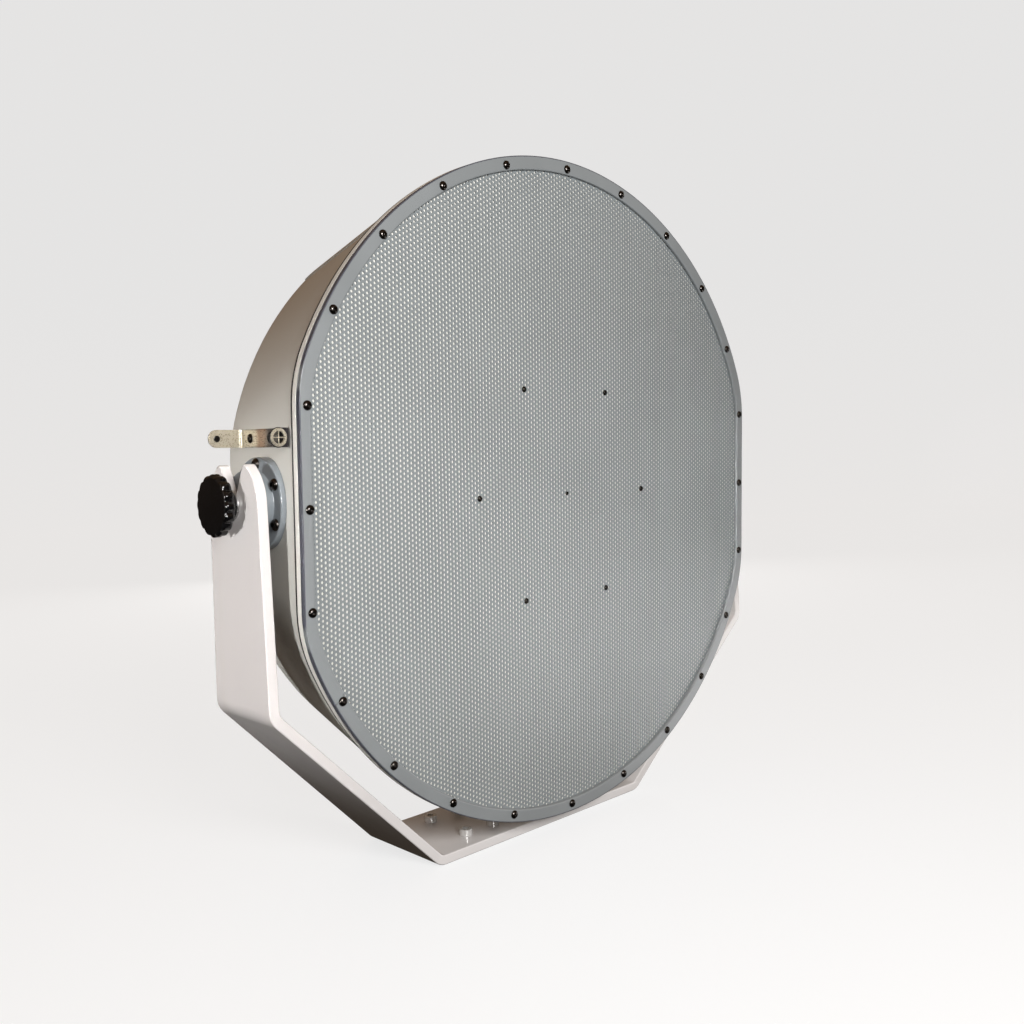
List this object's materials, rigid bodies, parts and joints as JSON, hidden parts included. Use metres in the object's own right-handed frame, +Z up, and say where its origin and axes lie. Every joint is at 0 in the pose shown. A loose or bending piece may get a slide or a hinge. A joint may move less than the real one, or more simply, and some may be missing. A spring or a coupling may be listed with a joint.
{
  "type": "directional hailing speaker",
  "caption": "Flat-fronted, perforated acoustic head that tilts in a bent-bar yoke and is held by a fluted clamp knob at each side.",
  "frame": {"origin": "centre of the underside of the yoke's base, on the surface it stands on", "axes": "+X to the right seen from the front, along the tilt axis; +Y to the rear, so the perforated front faces -Y; +Z up"},
  "size_m": [0.9062, 0.2687, 0.8671],
  "materials": {
    "yoke_paint": "off-white powder coat, satin, slightly dusty",
    "ring_paint": "blue-grey paint, satin",
    "grille_paint": "blue-grey paint, satin, perforated sheet",
    "screen_cloth": "pale acoustic weather cloth",
    "housing_paint": "light warm grey paint, satin",
    "gasket_rubber": "matt black",
    "black_steel": "black oxide, slightly glossy",
    "driver_body": "dark, matt",
    "circuit_board": "green solder mask",
    "trunnion_paint": "darker blue-grey paint, satin",
    "bright_steel": "plain, turned",
    "knob_plastic": "black, moulded",
    "sight_steel": "stainless sheet, slightly tanned",
    "handle_paint": "black powder coat",
    "inlet_black": "black, moulded"
  },
  "bodies": {
    "yoke": {"yoke_bracket": "yoke_paint"},
    "head": {"trim_ring": "ring_paint", "grille": "grille_paint", "weather_screen": "screen_cloth", "baffle_plate": "housing_paint", "rear_housing": "housing_paint", "back_cover": "housing_paint", "front_gasket": "gasket_rubber", "rim_screw_1": "black_steel", "rim_screw_2": "black_steel", "rim_screw_3": "black_steel", "rim_screw_4": "black_steel", "rim_screw_5": "black_steel", "rim_screw_6": "black_steel", "rim_screw_7": "black_steel", "rim_screw_8": "black_steel", "rim_screw_9": "black_steel", "rim_screw_10": "black_steel", "rim_screw_11": "black_steel", "rim_screw_12": "black_steel", "rim_screw_13": "black_steel", "rim_screw_14": "black_steel", "rim_screw_15": "black_steel", "rim_screw_16": "black_steel", "rim_screw_17": "black_steel", "rim_screw_18": "black_steel", "rim_screw_19": "black_steel", "rim_screw_20": "black_steel", "rim_screw_21": "black_steel", "rim_screw_22": "black_steel", "rim_screw_23": "black_steel", "rim_screw_24": "black_steel", "grille_screw_1": "black_steel", "grille_screw_2": "black_steel", "grille_screw_3": "black_steel", "grille_screw_4": "black_steel", "grille_screw_5": "black_steel", "grille_screw_6": "black_steel", "grille_screw_7": "black_steel", "sight_screw": "black_steel", "driver_1": "driver_body", "driver_2": "driver_body", "driver_3": "driver_body", "driver_4": "driver_body", "driver_5": "driver_body", "driver_6": "driver_body", "amplifier_board": "circuit_board", "left_trunnion": "trunnion_paint", "right_trunnion": "trunnion_paint", "left_stud": "bright_steel", "right_stud": "bright_steel", "sight_bracket": "sight_steel", "sight_cross_hair": "sight_steel", "left_handle": "handle_paint", "right_handle": "handle_paint", "inlet_socket": "inlet_black"},
    "left_clamp": {"left_clamp_washer": "bright_steel"},
    "left_knob": {"left_knob": "knob_plastic"},
    "right_clamp": {"right_clamp_washer": "bright_steel"},
    "right_knob": {"right_knob": "knob_plastic"}
  },
  "joints": [
    {"name": "head_tilt", "type": "hinge", "parent": "yoke", "child": "head", "pos_m": [0, -0.0405, 0.4545], "axis": [1, 0, 0], "range_deg": [-45, 45]},
    {"name": "left_clamp_travel", "type": "slide", "parent": "head", "child": "left_clamp", "axis": [-1, 0, 0], "range_m": [0, 0.004]},
    {"name": "left_knob_turn", "type": "hinge", "parent": "left_clamp", "child": "left_knob", "pos_m": [-0.44, -0.0405, 0.4545], "axis": [-1, 0, 0], "range_deg": [0, 720]},
    {"name": "right_clamp_travel", "type": "slide", "parent": "head", "child": "right_clamp", "axis": [1, 0, 0], "range_m": [0, 0.004]},
    {"name": "right_knob_turn", "type": "hinge", "parent": "right_clamp", "child": "right_knob", "pos_m": [0.44, -0.0405, 0.4545], "axis": [1, 0, 0], "range_deg": [0, 720]}
  ],
  "couplings": [
    {"joint": "left_clamp_travel", "follows": "left_knob_turn", "m_per_rad": 0.0003183},
    {"joint": "right_clamp_travel", "follows": "right_knob_turn", "m_per_rad": 0.0003183}
  ]
}
